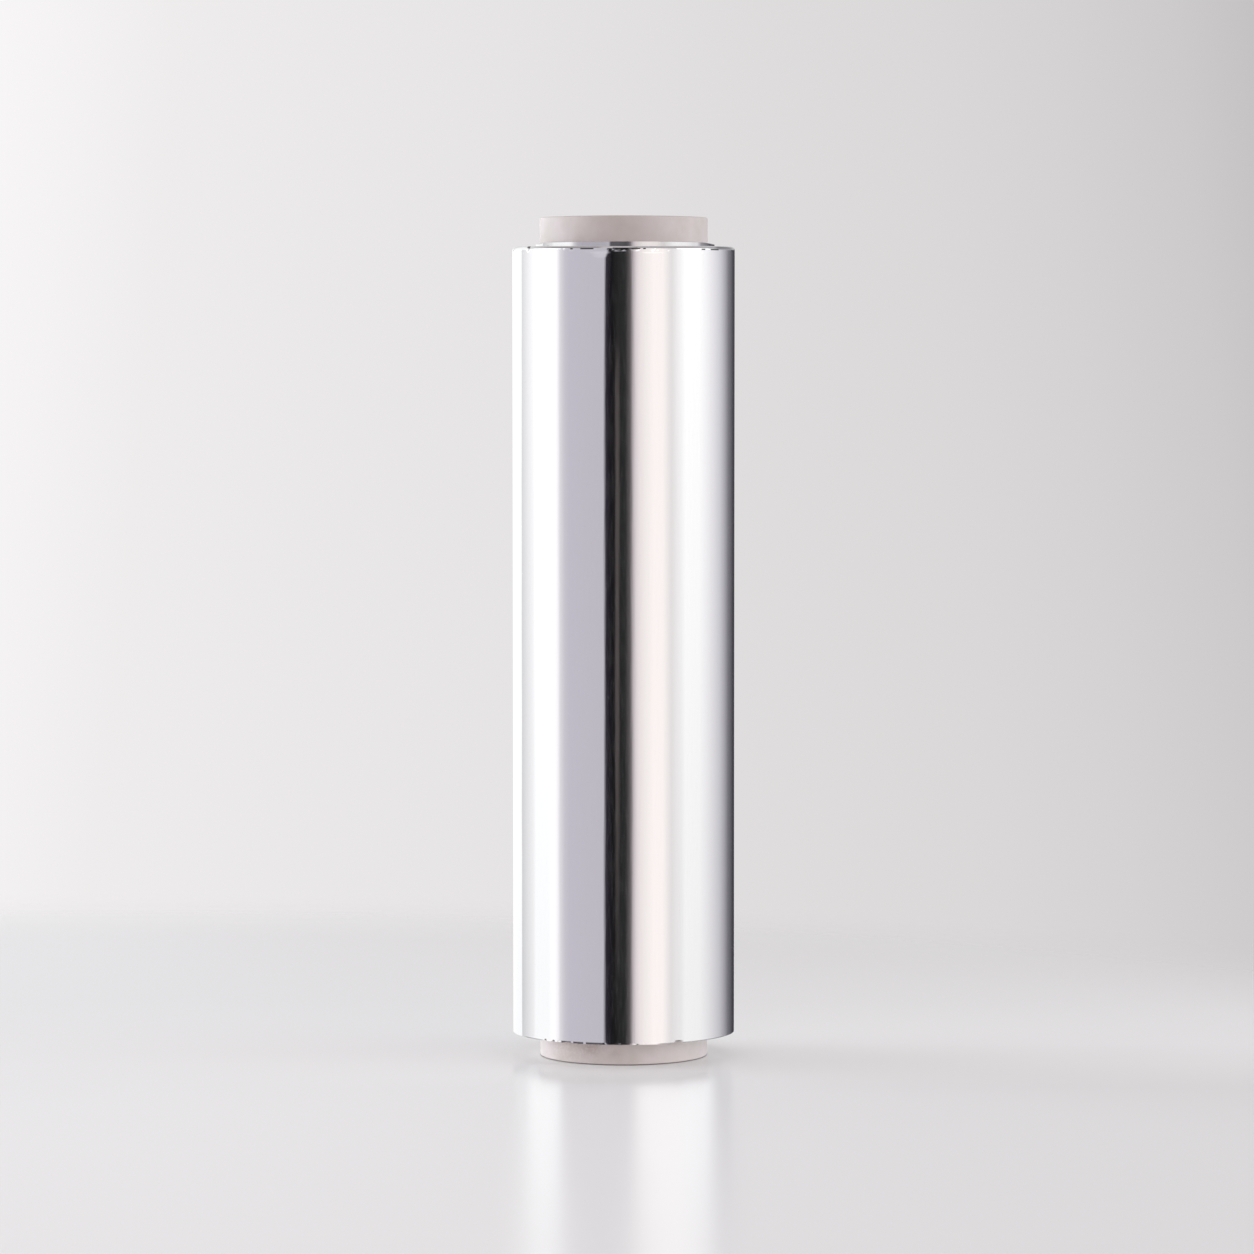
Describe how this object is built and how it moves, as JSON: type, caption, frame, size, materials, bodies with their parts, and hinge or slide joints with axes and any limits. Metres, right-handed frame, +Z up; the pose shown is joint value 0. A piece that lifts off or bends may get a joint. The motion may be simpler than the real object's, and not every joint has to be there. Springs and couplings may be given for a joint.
{
  "type": "aluminium foil roll",
  "caption": "Wide roll of bright aluminium foil wound on an open paperboard core that stands out past the foil at each end.",
  "frame": {"origin": "centre of the core's foot, on the surface that the roll stands on", "axes": "+Z up along the core, -Y towards the front of the picture, +X to its right"},
  "size_m": [0.085, 0.0849, 0.321],
  "materials": {
    "core_board": "matte",
    "foil": "polished"
  },
  "bodies": {
    "root": {"core_tube": "core_board", "foil_winding": "foil"}
  },
  "joints": []
}
